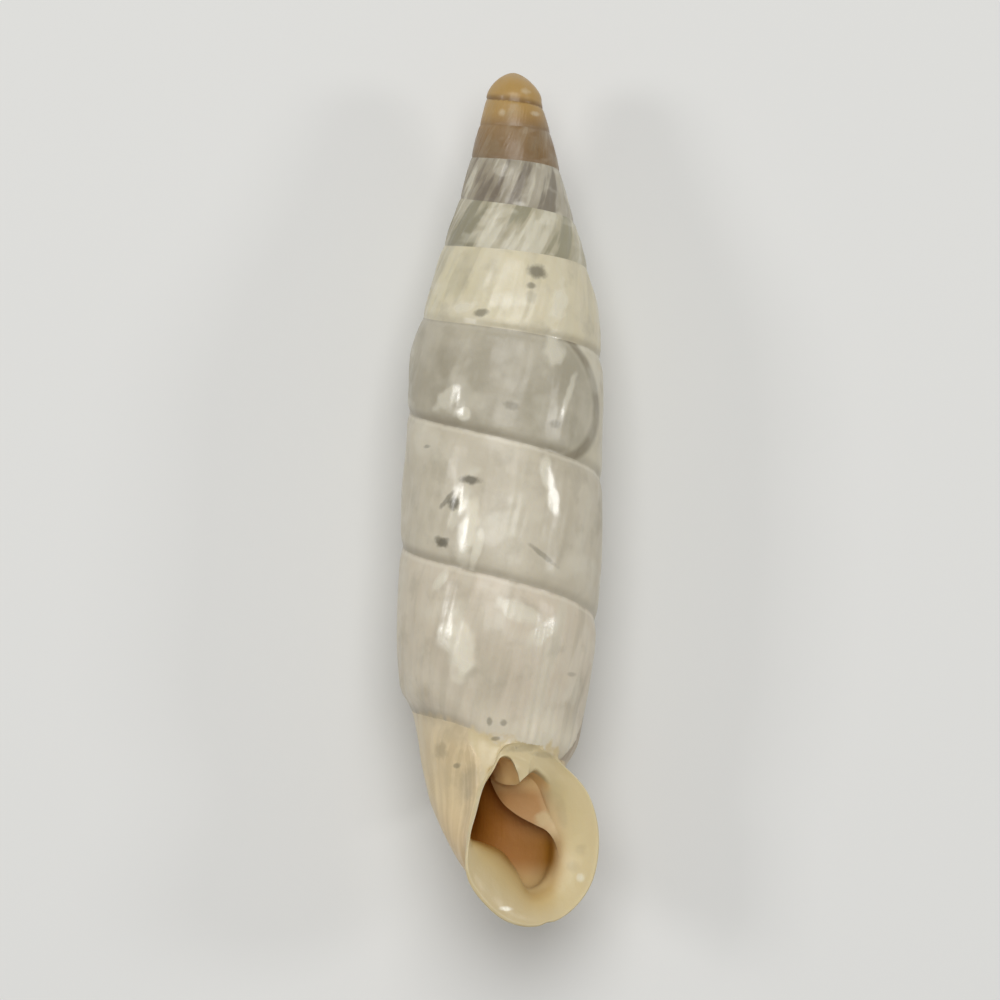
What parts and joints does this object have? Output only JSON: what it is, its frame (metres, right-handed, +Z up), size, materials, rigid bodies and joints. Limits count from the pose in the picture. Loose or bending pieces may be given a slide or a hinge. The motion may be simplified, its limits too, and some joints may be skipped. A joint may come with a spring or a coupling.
{
  "type": "rock snail shell",
  "caption": "Slender left-handed land snail shell lying on its back: tapering ribbed early whorls, smooth pale body, narrowed neck and a flared lip round a hollow pear-shaped mouth.",
  "frame": {"origin": "on the surface it lies on, under the middle of its bounding box", "axes": "+X towards the tip along its length, +Z up through the mouth side, -Y towards the columella side, which is right of the mouth with the tip up"},
  "size_m": [0.018, 0.0044, 0.0042],
  "materials": {
    "shell": "smooth, slightly translucent ivory shell with a soft gloss, grey-green streaks and specks, a tan tip and a cream lip with a brown throat"
  },
  "bodies": {
    "root": {"shell": "shell"}
  },
  "joints": []
}
